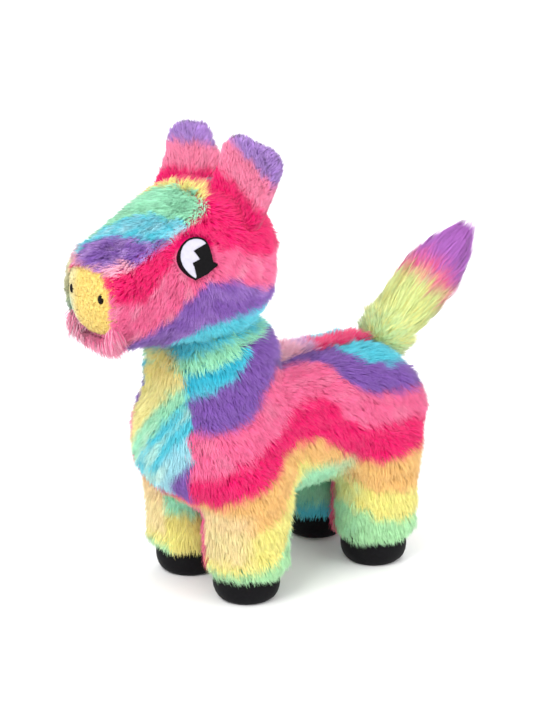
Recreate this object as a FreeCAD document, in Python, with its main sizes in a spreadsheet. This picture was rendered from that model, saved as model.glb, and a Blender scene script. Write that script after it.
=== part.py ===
import FreeCAD, Part
import os, math
import Sketcher

# A free-standing stuffed toy donkey sewn from banded pile fabric.
# Frame: +Z up, it faces -Y, its own left side is +X.  The origin is on the
# ground, in the middle of the footprint of the whole toy.  Millimetres.

V = FreeCAD.Vector
doc = FreeCAD.newDocument("plush_donkey")
sheet = doc.addObject("Spreadsheet::Sheet", "Sizes")

SIZES = [
    # body
    ("body_width", 98), ("body_front", -92.8), ("body_length", 201),
    ("body_bottom", 57), ("body_height", 84), ("body_round", 38),
    ("wall", 6),
    # neck, a form of revolution about a vertical line
    ("neck_y", -54.8), ("chest_radius", 38), ("neck_radius", 33),
    ("neck_waist", 29), ("neck_floor", 128), ("neck_shoulder", 144),
    ("neck_waist_low", 150), ("nod_z", 172), ("gap", 0.4),
    # head, a round cone between two balls
    ("skull_y", -62.8), ("skull_z", 218), ("skull_radius", 48.5),
    ("nose_y", -121.8), ("nose_z", 209), ("nose_radius", 32),
    ("forehead_half", 20), ("jaw_half", 15), ("muzzle_seam", -135.8),
    # ears
    ("ear_x", 28), ("ear_y", -48.8), ("ear_z", 258), ("ear_length", 34),
    ("ear_width", 36), ("ear_layer", 5), ("ear_round", 12), ("ear_gap", 0.7),
    # tail
    ("tail_y", 93.4), ("tail_z", 138), ("tail_ball", 9), ("tail_length", 66),
    ("tail_narrow", 6.8), ("tail_wide", 14), ("tail_wall", 3.5),
    # legs and hooves
    ("leg_x", 30), ("leg_y", 52), ("leg_mid", 7.2), ("hip_z", 58), ("hip_radius", 25), ("leg_radius", 24),
    ("hoof_top", 18), ("hoof_radius", 21.5), ("sole_radius", 14),
    ("sole_thick", 3),
    # embroidery
    ("eye_radius", 13.5), ("eye_raise", 1.0), ("pupil_radius", 8),
    ("nostril_radius", 2.5), ("fringe", 6),
]
G = {}
for i, (name, value) in enumerate(SIZES):
    sheet.set("A%d" % (i + 1), name.replace("_", " "))
    sheet.set("B%d" % (i + 1), repr(value))
    sheet.setAlias("B%d" % (i + 1), name)
    G[name] = float(value)
doc.recompute()


def bind(obj, exprs):
    for key, text in exprs.items():
        obj.setExpression(key, text)
    return obj


def S(text):
    """Turn the sheet's own words in a formula into references to its cells."""
    import re
    return re.sub(r"[a-z][a-z_]*", lambda m: "Sizes." + m.group(0)
                  if m.group(0) in G else m.group(0), text)


def where(obj, x, y, z):
    return bind(obj, {"Placement.Base.x": S(x), "Placement.Base.y": S(y),
                      "Placement.Base.z": S(z)})


def box(name, x0, y0, z0, dx, dy, dz):
    b = doc.addObject("Part::Box", name)
    bind(b, {"Length": S(dx), "Width": S(dy), "Height": S(dz)})
    return where(b, x0, y0, z0)


def cyl(name, x, y, z, radius, height):
    c = doc.addObject("Part::Cylinder", name)
    bind(c, {"Radius": S(radius), "Height": S(height)})
    return where(c, x, y, z)


def cone(name, x, y, z, r_low, r_high, height):
    c = doc.addObject("Part::Cone", name)
    bind(c, {"Radius1": S(r_low), "Radius2": S(r_high), "Height": S(height)})
    return where(c, x, y, z)


def ball(name, x, y, z, radius, half=False):
    s = doc.addObject("Part::Sphere", name)
    bind(s, {"Radius": S(radius)})
    if half:
        s.Angle1 = 0
    return where(s, x, y, z)


def fuse(name, shapes):
    f = doc.addObject("Part::MultiFuse", name)
    f.Shapes = shapes
    return f


def cut(name, base, tool):
    c = doc.addObject("Part::Cut", name)
    c.Base = base
    c.Tool = tool
    return c


def common(name, a, b):
    c = doc.addObject("Part::Common", name)
    c.Base = a
    c.Tool = b
    return c


def plane(body, role):
    for f in body.Origin.OriginFeatures:
        if getattr(f, "Role", "") == role:
            return f


def rounded_block(name, dx, dy, dz, radius, edges=None):
    """A block with rounded edges, its low corner at the body's own origin."""
    body = doc.addObject("PartDesign::Body", name)
    block = body.newObject("PartDesign::AdditiveBox", name + "_block")
    bind(block, {"Length": S(dx), "Width": S(dy), "Height": S(dz)})
    doc.recompute()
    fil = body.newObject("PartDesign::Fillet", name + "_round")
    fil.Base = (block, ["Edge%d" % (i + 1) for i, e in enumerate(block.Shape.Edges)
                        if edges is None or edges(e)])
    bind(fil, {"Radius": S(radius)})
    body.Tip = fil
    doc.recompute()
    return body


def round_cone(name, r_one, r_two, apart):
    """A solid of revolution about its own X: two balls and their tangent cone."""
    r1 = eval_size(r_one)
    r2 = eval_size(r_two)
    d = eval_size(apart)
    body = doc.addObject("PartDesign::Body", name)
    sk = body.newObject("Sketcher::SketchObject", name + "_profile")
    sk.AttachmentSupport = (plane(body, "XZ_Plane"), [""])
    sk.MapMode = "FlatFace"
    a = math.asin((r1 - r2) / d)
    t1 = V(r1 * math.sin(a), r1 * math.cos(a), 0)
    t2 = V(d + r2 * math.sin(a), r2 * math.cos(a), 0)
    ax = V(0, 0, 1)
    sk.addGeometry(Part.ArcOfCircle(Part.Circle(V(0, 0, 0), ax, r1),
                                    math.pi / 2 - a, math.pi), False)
    sk.addGeometry(Part.LineSegment(t1, t2), False)
    sk.addGeometry(Part.ArcOfCircle(Part.Circle(V(d, 0, 0), ax, r2),
                                    0, math.pi / 2 - a), False)
    sk.addGeometry(Part.LineSegment(V(d + r2, 0, 0), V(-r1, 0, 0)), False)
    C = Sketcher.Constraint
    sk.addConstraint([
        C("Coincident", 0, 3, -1, 1), C("PointOnObject", 2, 3, -1),
        C("Tangent", 0, 1, 1, 1), C("Tangent", 1, 2, 2, 2),
        C("Coincident", 2, 1, 3, 1), C("Coincident", 0, 2, 3, 2),
        C("PointOnObject", 0, 2, -1), C("PointOnObject", 2, 1, -1)])
    k = sk.addConstraint(C("Radius", 0, r1))
    sk.setExpression("Constraints[%d]" % k, S(r_one))
    k = sk.addConstraint(C("Radius", 2, r2))
    sk.setExpression("Constraints[%d]" % k, S(r_two))
    k = sk.addConstraint(C("DistanceX", 0, 3, 2, 3, d))
    sk.setExpression("Constraints[%d]" % k, S(apart))
    doc.recompute()
    rev = body.newObject("PartDesign::Revolution", name + "_turn")
    rev.Profile = sk
    rev.ReferenceAxis = (sk, ["H_Axis"])
    rev.Angle = 360
    body.Tip = rev
    doc.recompute()
    return body


def eval_size(text):
    """The value of a sum or difference of the sheet's words and numbers."""
    total, sign = 0.0, 1.0
    for word in text.replace("+", " + ").replace("-", " - ").split():
        if word in "+-":
            sign = 1.0 if word == "+" else -1.0
        else:
            total += sign * (G[word] if word in G else float(word))
            sign = 1.0
    return total


NODES = []


def node(obj, label):
    obj.Label = label
    NODES.append(obj)
    return obj


# ------------------------------------------------------------------ body
def body_form(name, inset):
    grow = "-2*wall" if inset else ""
    b = rounded_block(name, "body_width" + grow, "body_length" + grow,
                      "body_height" + grow,
                      "body_round" + ("-wall" if inset else ""))
    off = "+wall" if inset else ""
    where(b, "-body_width/2" + off, "body_front" + off, "body_bottom" + off)
    return b


body_out = body_form("body_out", False)
body_in = body_form("body_in", True)
chest_out = fuse("chest_out", [
    body_out,
    cyl("chest_post", "0", "neck_y", "95", "chest_radius", "41"),
    cone("chest_rim", "0", "neck_y", "136", "chest_radius", "chest_radius-2", "5")])
chest_in = fuse("chest_in", [
    body_in,
    cyl("chest_post_in", "0", "neck_y", "101", "chest_radius-wall", "29")])

pockets = [cyl("neck_pocket", "0", "neck_y", "neck_floor-gap",
               "neck_radius+gap", "40"),
           ball("tail_socket", "0", "tail_y", "tail_z", "tail_ball+gap")]
LEGS = [("front_left", 1, -1), ("front_right", -1, -1),
        ("rear_left", 1, 1), ("rear_right", -1, 1)]
for leg, sx, sy in LEGS:
    pockets.append(ball("hip_pocket_" + leg, "%d*leg_x" % sx, "%d*leg_y+leg_mid" % sy,
                        "hip_z", "hip_radius+gap"))
torso_pockets = fuse("torso_pockets", pockets)

torso_skin_all = cut("torso_skin_all", cut("torso_hollow", chest_out, chest_in),
                     torso_pockets)
node(cut("torso_stuffing", chest_in, torso_pockets), "torso_stuffing")

chest_zone = box("chest_zone", "-27", "body_front-5", "70", "54", "35", "80")
belly_zone = box("belly_zone", "-14", "-62.8", "body_bottom-5", "28", "145", "18")
node(common("chest_gusset", torso_skin_all, chest_zone), "chest_gusset")
node(common("belly_gusset", torso_skin_all, belly_zone), "belly_gusset")
torso_flanks = cut("torso_flanks", torso_skin_all,
                   fuse("gusset_zones", [chest_zone, belly_zone]))
node(common("torso_side_left", torso_flanks,
            box("left_half", "0", "-200", "0", "100", "400", "320")),
     "torso_side_left")
node(common("torso_side_right", torso_flanks,
            box("right_half", "-100", "-200", "0", "100", "400", "320")),
     "torso_side_right")

spine = rounded_block("spine_fringe", "5", "80", "fringe", "1.5",
                      lambda e: e.BoundBox.ZMin > 5)
where(spine, "-2.5", "-10.8", "body_bottom+body_height")
node(spine, "spine_fringe")

# ------------------------------------------------------------------ neck
neck_out = fuse("neck_out", [
    cyl("neck_base", "0", "neck_y", "neck_floor", "neck_radius",
        "neck_shoulder-neck_floor"),
    cone("neck_slope", "0", "neck_y", "neck_shoulder", "neck_radius",
         "neck_waist", "neck_waist_low-neck_shoulder"),
    cyl("neck_stem", "0", "neck_y", "neck_waist_low", "neck_waist",
        "nod_z-neck_waist_low"),
    ball("neck_top", "0", "neck_y", "nod_z", "neck_radius")])
neck_in = fuse("neck_in", [
    cyl("neck_base_in", "0", "neck_y", "neck_floor", "neck_radius-wall",
        "neck_shoulder-neck_floor-2"),
    cone("neck_slope_in", "0", "neck_y", "neck_shoulder-2", "neck_radius-wall",
         "neck_waist-wall", "neck_waist_low-neck_shoulder"),
    cyl("neck_stem_in", "0", "neck_y", "neck_waist_low-2", "neck_waist-wall",
        "nod_z-neck_waist_low+2"),
    ball("neck_top_in", "0", "neck_y", "nod_z", "neck_radius-wall")])
node(cut("neck_cover", neck_out, neck_in), "neck_cover")
node(neck_in, "neck_stuffing")

# ------------------------------------------------------------------ head
skull = V(0, G["skull_y"], G["skull_z"])
nose = V(0, G["nose_y"], G["nose_z"])
HEAD_ROT = FreeCAD.Rotation(V(1, 0, 0), nose - skull)
head_span = (nose - skull).Length
G["head_span"] = round(head_span, 4)
row = len(SIZES) + 1
sheet.set("A%d" % row, "head span")
sheet.set("B%d" % row, repr(G["head_span"]))
sheet.setAlias("B%d" % row, "head_span")
doc.recompute()


def head_form(name, change):
    b = round_cone(name, "skull_radius" + change, "nose_radius" + change,
                   "head_span")
    b.Placement = FreeCAD.Placement(skull, HEAD_ROT)
    return where(b, "0", "skull_y", "skull_z")


head_out = head_form("head_out", "")
head_in = head_form("head_in", "-wall")
cup = ball("neck_cup", "0", "neck_y", "nod_z", "neck_radius+gap")
groove_tools = []
EARS = {}
for side, s in (("left", 1), ("right", -1)):
    ax = V(s * 0.12, 0.36, 0.925).normalize()
    lat = V(1.0, 0.30, -0.25) if s > 0 else V(-1.0, -0.30, -0.25)
    lat = (lat - ax * lat.dot(ax)).normalize()
    lat = lat if s > 0 else lat * -1.0        # own +X of the ear's frame
    nrm = ax.cross(lat)
    rot = FreeCAD.Rotation(lat, nrm, ax, "XYZ")
    EARS[side] = (s, ax, lat, nrm, rot)
    g = cyl("ear_groove_" + side, "%d*ear_x" % s, "ear_y", "ear_z",
            "ear_layer+ear_gap", "ear_width+6")
    base = V(s * G["ear_x"], G["ear_y"], G["ear_z"]) - lat * (G["ear_width"] / 2 + 3)
    for k in ("Placement.Base.x", "Placement.Base.y", "Placement.Base.z"):
        g.setExpression(k, None)
    g.Placement = FreeCAD.Placement(base, FreeCAD.Rotation(V(0, 0, 1), lat))
    groove_tools.append(g)
    # room in the crown for the folded ear, from laid back to bent forward;
    # the two ears are sewn on with the same twist, so they are not mirror twins
    for turn in (-41, -18, 5, 28, 51):
        slab = doc.addObject("Part::Box", "ear_room_%s_%d" % (side, turn + 41))
        bind(slab, {"Length": S("ear_width+3"), "Width": S("2*ear_layer+2*ear_gap"),
                    "Height": S("ear_length+3")})
        swing = FreeCAD.Rotation(lat, turn).multiply(rot)
        corner = V(-G["ear_width"] / 2 - 1.5, -G["ear_layer"] - G["ear_gap"], 0)
        slab.Placement = FreeCAD.Placement(
            V(s * G["ear_x"], G["ear_y"], G["ear_z"]) + swing.multVec(corner), swing)
        groove_tools.append(slab)
head_hollows = fuse("head_hollows", [cup] + groove_tools)
head_skin_all = cut("head_skin_all", cut("head_hollow", head_out, head_in),
                    head_hollows)
node(cut("head_stuffing", head_in, head_hollows), "head_stuffing")

muzzle_zone = box("muzzle_zone", "-60", "muzzle_seam-40", "150", "120", "40", "120")
fore_zone = box("fore_zone", "-forehead_half", "muzzle_seam", "skull_z",
                "2*forehead_half", "95", "80")
jaw_zone = box("jaw_zone", "-jaw_half", "muzzle_seam", "150", "2*jaw_half", "60", "50")
node(common("muzzle_panel", head_skin_all, muzzle_zone), "muzzle_panel")
node(common("forehead_gusset", head_skin_all, fore_zone), "forehead_gusset")
node(common("jaw_gusset", head_skin_all, jaw_zone), "jaw_gusset")
cheeks = cut("cheeks", head_skin_all,
             fuse("head_zones", [muzzle_zone, fore_zone, jaw_zone]))
node(common("cheek_panel_left", cheeks,
            box("left_face", "0", "-200", "100", "100", "300", "220")),
     "cheek_panel_left")
node(common("cheek_panel_right", cheeks,
            box("right_face", "-100", "-200", "100", "100", "300", "220")),
     "cheek_panel_right")

raise_one = head_form("raise_one", "+eye_raise")
raise_two = head_form("raise_two", "+eye_raise+eye_raise")
raise_fringe = head_form("raise_fringe", "+fringe")
patch_one = cut("patch_one", raise_one, head_out)
patch_two = cut("patch_two", raise_two, raise_one)
fringe_ring = cut("fringe_ring", raise_fringe, head_out)
for side, s in (("left", 1), ("right", -1)):
    out = V(s * 0.88, -0.20, 0.43).normalize()
    rot = FreeCAD.Rotation(V(0, 0, 1), out)
    for kind, patch, radius, off in (("eye_white", patch_one, "eye_radius", V(0, 0, 0)),
                                     ("eye_pupil", patch_two, "pupil_radius",
                                      V(0, 3.5, 0.5))):
        punch = doc.addObject("Part::Cylinder", kind + "_punch_" + side)
        bind(punch, {"Radius": S(radius)})
        punch.Height = 40
        punch.Placement = FreeCAD.Placement(V(s * 20, -81.8, 225) + off, rot)
        node(common(kind + "_" + side, patch, punch), kind + "_" + side)
    punch = doc.addObject("Part::Cylinder", "nostril_punch_" + side)
    bind(punch, {"Radius": S("nostril_radius")})
    punch.Height = 60
    punch.Placement = FreeCAD.Placement(V(s * 10, -122.8, 209),
                                        FreeCAD.Rotation(V(0, 0, 1), V(0, -1, 0)))
    node(common("nostril_" + side, patch_one, punch), "nostril_" + side)
node(common("chin_fringe", fringe_ring,
            box("chin_zone", "-24", "-134.8", "150", "48", "7", "50")), "chin_fringe")
node(common("mane_strip", fringe_ring,
            box("mane_zone", "-3", "-44.8", "188", "6", "60", "90")), "mane_strip")

# ------------------------------------------------------------------ ears
for side in ("left", "right"):
    s, ax, lat, nrm, rot = EARS[side]
    hinge = V(s * G["ear_x"], G["ear_y"], G["ear_z"])
    for layer, sy in (("front", -1), ("back", 1)):
        body = rounded_block("ear_%s_%s_leaf" % (layer, side), "ear_width",
                             "ear_layer", "ear_length", "ear_round",
                             lambda e: e.BoundBox.ZMin > G["ear_length"] - 1
                             and e.BoundBox.YLength > 1)
        w = G["ear_width"] / 2
        where(body, "-ear_width/2", "-ear_layer" if sy < 0 else "0", "0")
        root = doc.addObject("Part::Cylinder", "ear_%s_%s_roll" % (layer, side))
        bind(root, {"Radius": S("ear_layer"), "Height": S("ear_width")})
        root.Angle = 180
        roll = FreeCAD.Rotation(V(0, 1, 0), 90)
        if sy < 0:
            roll = FreeCAD.Rotation(V(1, 0, 0), 180).multiply(roll)
        root.Placement = FreeCAD.Placement(V(-w, 0, 0), roll)
        ear = fuse("ear_%s_%s" % (layer, side), [body, root])
        ear.Placement = FreeCAD.Placement(hinge, rot)
        where(ear, "%d*ear_x" % s, "ear_y", "ear_z")
        node(ear, "ear_%s_%s" % (layer, side))

# ------------------------------------------------------------------ tail
node(ball("tail_gather", "0", "tail_y", "tail_z", "tail_ball"), "tail_gather")
TAIL_ROT = FreeCAD.Rotation(V(1, 0, 0), V(0, 1, 1))
tail_cup = ball("tail_cup", "0", "tail_y", "tail_z", "tail_ball+gap")
tail_out = round_cone("tail_out", "tail_narrow", "tail_wide", "tail_length")
tail_in = round_cone("tail_in", "tail_narrow-tail_wall", "tail_wide-tail_wall",
                     "tail_length")
for b in (tail_out, tail_in):
    b.Placement = FreeCAD.Placement(V(0, G["tail_y"], G["tail_z"]), TAIL_ROT)
    where(b, "0", "tail_y", "tail_z")
node(cut("tail_sleeve", cut("tail_wall_all", tail_out, tail_in), tail_cup),
     "tail_sleeve")
node(cut("tail_stuffing", tail_in, tail_cup), "tail_stuffing")

# ------------------------------------------------------------------ legs
for leg, sx, sy in LEGS:
    X, Y = "%d*leg_x" % sx, "%d*leg_y+leg_mid" % sy
    outer = fuse("leg_out_" + leg, [
        cyl("leg_post_" + leg, X, Y, "hoof_top", "leg_radius", "hip_z-hoof_top"),
        ball("leg_top_" + leg, X, Y, "hip_z", "hip_radius", True)])
    inner = fuse("leg_in_" + leg, [
        cyl("leg_post_in_" + leg, X, Y, "hoof_top", "hip_radius-wall",
            "hip_z-hoof_top"),
        ball("leg_top_in_" + leg, X, Y, "hip_z", "hip_radius-wall", True)])
    wall = cut("leg_wall_" + leg, outer, inner)
    lo = "%d*leg_x" % sx
    node(common("leg_outer_" + leg, wall,
                box("leg_outside_" + leg, lo + ("" if sx > 0 else "-60"),
                    Y + "-50", "0", "60", "100", "120")), "leg_outer_" + leg)
    node(common("leg_inner_" + leg, wall,
                box("leg_inside_" + leg, lo + ("-60" if sx > 0 else ""),
                    Y + "-50", "0", "60", "100", "120")), "leg_inner_" + leg)
    # the hoof: a low bowl of short-pile cloth around a flat sole
    bowl = fuse("hoof_bowl_" + leg, [
        cone("hoof_low_" + leg, X, Y, "0", "sole_radius+2.5", "hoof_radius-1", "5"),
        cone("hoof_mid_" + leg, X, Y, "5", "hoof_radius-1", "hoof_radius", "5"),
        cone("hoof_high_" + leg, X, Y, "10", "hoof_radius", "hoof_radius-1.5",
             "hoof_top-10")])
    bowl_in = fuse("hoof_bowl_in_" + leg, [
        cone("hoof_low_in_" + leg, X, Y, "sole_thick", "sole_radius",
             "hoof_radius-4", "4"),
        cyl("hoof_mid_in_" + leg, X, Y, "sole_thick+4", "hoof_radius-4",
            "hoof_top-sole_thick-4")])
    sole = cyl("hoof_sole_" + leg, X, Y, "0", "sole_radius", "sole_thick")
    node(sole, "hoof_sole_" + leg)
    node(cut("hoof_side_" + leg, bowl, fuse("hoof_core_" + leg, [bowl_in, sole])),
         "hoof_side_" + leg)
    node(fuse("leg_stuffing_" + leg, [inner, bowl_in]), "leg_stuffing_" + leg)

# ------------------------------------------------------------------ write
doc.recompute()
bad = [o.Name for o in doc.Objects
       if "Invalid" in o.State or "Error" in o.State]
if bad:
    raise SystemExit("failed objects: " + ", ".join(bad))
os.makedirs("parts", exist_ok=True)
total = 0.0
for o in NODES:
    shape = o.Shape
    if shape.isNull() or not shape.isValid():
        raise SystemExit("bad shape: " + o.Label)
    b = shape.BoundBox
    total += shape.Volume
    print("%-24s solids %d  vol %9.0f  x %7.1f %7.1f  y %7.1f %7.1f  z %7.1f %7.1f"
          % (o.Label, len(shape.Solids), shape.Volume, b.XMin, b.XMax,
             b.YMin, b.YMax, b.ZMin, b.ZMax))
    shape.exportStep("parts/%s.step" % o.Label)
print(len(NODES), "nodes, total volume", round(total))
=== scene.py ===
import bpy, math
import numpy as np
from mathutils import Vector, Matrix, kdtree

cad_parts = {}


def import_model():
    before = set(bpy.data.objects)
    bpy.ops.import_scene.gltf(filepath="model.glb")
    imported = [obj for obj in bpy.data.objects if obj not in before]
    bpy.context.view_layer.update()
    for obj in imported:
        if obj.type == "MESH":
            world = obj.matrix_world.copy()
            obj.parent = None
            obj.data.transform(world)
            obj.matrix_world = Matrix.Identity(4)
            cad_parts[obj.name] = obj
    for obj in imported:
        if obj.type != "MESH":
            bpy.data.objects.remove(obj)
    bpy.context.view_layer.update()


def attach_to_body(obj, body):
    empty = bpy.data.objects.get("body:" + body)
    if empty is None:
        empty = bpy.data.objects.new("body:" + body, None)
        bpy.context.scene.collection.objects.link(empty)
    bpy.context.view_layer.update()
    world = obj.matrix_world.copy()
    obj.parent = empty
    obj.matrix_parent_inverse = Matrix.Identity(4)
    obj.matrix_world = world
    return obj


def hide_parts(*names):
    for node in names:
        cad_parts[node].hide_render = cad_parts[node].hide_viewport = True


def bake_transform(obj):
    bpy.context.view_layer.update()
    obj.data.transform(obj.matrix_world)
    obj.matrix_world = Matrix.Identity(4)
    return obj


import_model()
RNG = np.random.default_rng(41)

# ----------------------------------------------------------------------------
# The toy's cloth surface is described by distance functions in millimetres,
# in a frame whose origin is between the four hooves; SHIFT takes it to the
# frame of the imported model.
# ----------------------------------------------------------------------------
SHIFT = np.array([0.0, 7.2, 0.0])
LEGS = {"front_left": (1, -1), "front_right": (-1, -1),
        "rear_left": (1, 1), "rear_right": (-1, 1)}


def world(p):
    return (np.asarray(p, float) + SHIFT) * 0.001


def length(v):
    return np.sqrt((v * v).sum(-1))


def unit(v):
    return v / np.maximum(length(v), 1e-9)[..., None]


def step(a, b, x):
    t = np.clip((x - a) / (b - a), 0, 1)
    return t * t * (3 - 2 * t)


def smin(a, b, k):
    h = np.clip(0.5 + 0.5 * (b - a) / k, 0, 1)
    return b * (1 - h) + a * h - k * h * (1 - h)


def rbox(p, c, h, r):
    q = np.abs(p - np.array(c)) - (np.array(h) - r)
    return length(np.maximum(q, 0)) + np.minimum(q.max(-1), 0) - r


def capsule(p, a, b, r0, r1):
    a = np.array(a, float)
    b = np.array(b, float)
    d = b - a
    t = np.clip(((p - a) @ d) / (d @ d), 0, 1)
    return length(p - a - t[..., None] * d) - (r0 + (r1 - r0) * t)


def vcyl(p, x, y, z0, z1, r0, r1, rd):
    t = np.clip((p[..., 2] - z0) / (z1 - z0), 0, 1)
    r = r0 + (r1 - r0) * t
    d = np.hypot(p[..., 0] - x, p[..., 1] - y) - r + rd
    e = np.maximum(z0 - p[..., 2], p[..., 2] - z1) + rd
    return (np.minimum(np.maximum(d, e), 0)
            + np.hypot(np.maximum(d, 0), np.maximum(e, 0)) - rd)


def torso_d(p):
    d = rbox(p, (0, 0, 99), (44, 95.5, 37), 36)
    slope = (p[..., 1] * 0.80 + p[..., 2] * 0.60) - (86 * 0.80 + 117 * 0.60)
    d = -smin(-d, -slope, 14)
    d = smin(d, vcyl(p, 0, -56, 80, 172, 39, 35, 16), 14)
    for sx, sy in LEGS.values():
        d = smin(d, vcyl(p, sx * 30, sy * 52, 20, 90, 22.5, 25, 10), 12)
    return d


SKULL = np.array([0, -70, 218.0])
NOSE = np.array([0, -126, 208.0])


def head_d(p):
    d = NOSE - SKULL
    t = np.clip(((p - SKULL) @ d) / (d @ d), 0, 1)
    v = np.abs(p - SKULL - t[..., None] * d)
    R0, R1 = np.array([44.0, 43.5, 43.5]), np.array([31.0, 23.5, 28.0])
    R = R0 + (R1 - R0) * t[..., None]
    q = ((v / R) ** 2.5).sum(-1) ** 0.4
    return (q - 1) * R.min(-1)


def skin_d(p):
    return smin(torso_d(p), head_d(p), 15)


def ear_frame(s):
    base = np.array([s * 25, -58.0, 250])
    tip = np.array([s * 31, -42.0, 289])
    ax = unit(tip - base)
    lat = np.array([s * 1.0, s * 0.3, -0.25])
    lat = unit(lat - ax * (lat @ ax))
    front = -np.cross(ax, lat) * s
    return base, length(tip - base), ax, lat, front


def ear_uv(p, s):
    base, L, ax, lat, front = ear_frame(s)
    q = p - base
    return q @ lat, q @ ax, q @ front, L


def ear_d(p, s):
    u, w, n, L = ear_uv(p, s)
    n = n - 0.011 * u * u - 0.006 * np.maximum(0, w - 10) ** 2
    t = np.clip(w / L, 0, 1)
    if s > 0:
        hw, cu, top = 18.0 + 1.6 * t, 1.2 + 1.6 * t, L - 0.5
    else:
        # the far ear narrows to its tip, and its inner part lies a little behind
        hw, cu, top = 20.0 - 2.5 * t, -2.5 - 2.5 * t, L - 1.0 - 12 * step(-7, -15, u)
        n = n + 5.0 * step(-6, -12, u) * t
    a = np.stack([np.abs(u - cu) - (hw - 10),
                  np.abs(w - (top - 8) / 2) - ((top + 8) / 2 - 10)], -1)
    q = length(np.maximum(a, 0)) + np.minimum(a.max(-1), 0) - 10 + 4.5
    return np.hypot(np.maximum(q, 0), n) - 4.5


TAIL0 = np.array([0, 84.0, 138.0])
TAIL1 = np.array([0, 119.0, 169.0])


def tail_d(p):
    return capsule(p * np.array([1.1, 1, 1]), TAIL0, TAIL1, 11.0, 9.0)


def grad(f, p, e=0.35):
    g = np.empty_like(p)
    for i in range(3):
        o = np.zeros(3)
        o[i] = e
        g[:, i] = f(p + o) - f(p - o)
    return unit(g)


def settle(f, p, level=0.0, turns=4):
    """Moves points along the gradient until f is level."""
    for _ in range(turns):
        e = 0.35
        g = np.empty_like(p)
        for i in range(3):
            o = np.zeros(3)
            o[i] = e
            g[:, i] = (f(p + o) - f(p - o)) / (2 * e)
        m = np.maximum((g * g).sum(-1), 0.05)
        p = p - g * ((f(p) - level) / m)[:, None]
    return p


def surface_net(f, lo, hi, h):
    ax = [np.arange(lo[i], hi[i] + h, h) for i in range(3)]
    P = np.stack(np.meshgrid(*ax, indexing="ij"), -1)
    v = f(P.reshape(-1, 3)).reshape(P.shape[:3])
    s = v < 0
    n = np.array(s.shape) - 1
    cs = [(i, j, k) for i in (0, 1) for j in (0, 1) for k in (0, 1)]

    def cut(a, c):
        return a[c[0]:c[0] + n[0], c[1]:c[1] + n[1], c[2]:c[2] + n[2]]
    cnt = sum(cut(s, c).astype(int) for c in cs)
    mixed = (cnt > 0) & (cnt < 8)
    index = -np.ones(mixed.shape, int)
    index[mixed] = np.arange(mixed.sum())
    acc = np.zeros((mixed.sum(), 3))
    num = np.zeros(mixed.sum())
    for a in cs:
        for i in range(3):
            if a[i]:
                continue
            b = list(a)
            b[i] = 1
            va, vb = cut(v, a)[mixed], cut(v, b)[mixed]
            hit = (va < 0) != (vb < 0)
            t = np.where(hit, va / np.where(hit, va - vb, 1), 0)
            q = np.array(a, float)[None] + t[:, None] * np.eye(3)[i]
            acc[hit] += q[hit]
            num[hit] += 1
    cells = np.argwhere(mixed)
    verts = np.array([a[0] for a in ax]) + (cells + acc / num[:, None]) * h
    quads = []
    for i in range(3):
        j, k = (i + 1) % 3, (i + 2) % 3
        sl0 = [slice(None)] * 3
        sl1 = [slice(None)] * 3
        sl0[i] = slice(0, -1)
        sl1[i] = slice(1, None)
        flip0 = s[tuple(sl0)]
        flip1 = s[tuple(sl1)]
        e = np.argwhere(flip0 != flip1)
        e = e[(e[:, j] > 0) & (e[:, k] > 0) & (e[:, j] < s.shape[j] - 1)
              & (e[:, k] < s.shape[k] - 1)]
        ins = flip0[tuple(e.T)]
        q = []
        for dj, dk in ((-1, -1), (0, -1), (0, 0), (-1, 0)):
            c = e.copy()
            c[:, j] += dj
            c[:, k] += dk
            q.append(index[tuple(c.T)])
        q = np.stack(q, -1)
        q[~ins] = q[~ins][:, ::-1]
        quads.append(q)
    quads = np.concatenate(quads)
    return verts, quads[(quads >= 0).all(1)]


# smooth noise from a few fixed waves
_K = np.random.default_rng(5).normal(size=(10, 3))
_K /= np.linalg.norm(_K, axis=1)[:, None]
_PH = np.random.default_rng(6).uniform(0, 6.28, 10)


def noise(p, scale, seed=0):
    """Smooth values of about -1 to 1 with features about scale mm wide."""
    out = 0
    for i in range(5):
        k = _K[(i + seed) % 10]
        out = out + np.sin((p @ k) * (2.2 + 0.75 * i) / scale * 1.6
                           + _PH[(i * 3 + seed) % 10])
    return out / 2.4


# ----------------------------------------------------------------------------
# Colours: the dyed bands of the pile cloth, as sRGB, worked in linear light
# ----------------------------------------------------------------------------
def lin(c):
    c = np.array(c, float) / 255.0
    return np.where(c <= 0.04045, c / 12.92, ((c + 0.055) / 1.055) ** 2.4)


MAG = lin((246, 18, 112))
PINK = lin((252, 106, 156))
LPINK = lin((255, 176, 200))
PURP = lin((136, 90, 182))
LPURP = lin((190, 150, 222))
TURQ = lin((84, 212, 232))
DTURQ = lin((30, 190, 220))
BLUE = lin((168, 232, 246))
GREEN = lin((162, 238, 196))
DGREEN = lin((64, 206, 130))
LIME = lin((220, 246, 130))
YEL = lin((255, 243, 138))
ORANGE = lin((255, 200, 122))
CREAM = lin((255, 240, 190))
RED = lin((250, 90, 90))


def mix(a, b, t):
    return a * (1 - t[..., None]) + b * t[..., None]


def bands(h, bounds, cols, soft=3.5):
    """cols[0] is lowest; each bound is where the next colour begins."""
    c = np.broadcast_to(cols[0], h.shape + (3,)).copy()
    for b, col in zip(bounds, cols[1:]):
        c = mix(c, col, step(-soft, soft, h - b))
    return c


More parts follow.
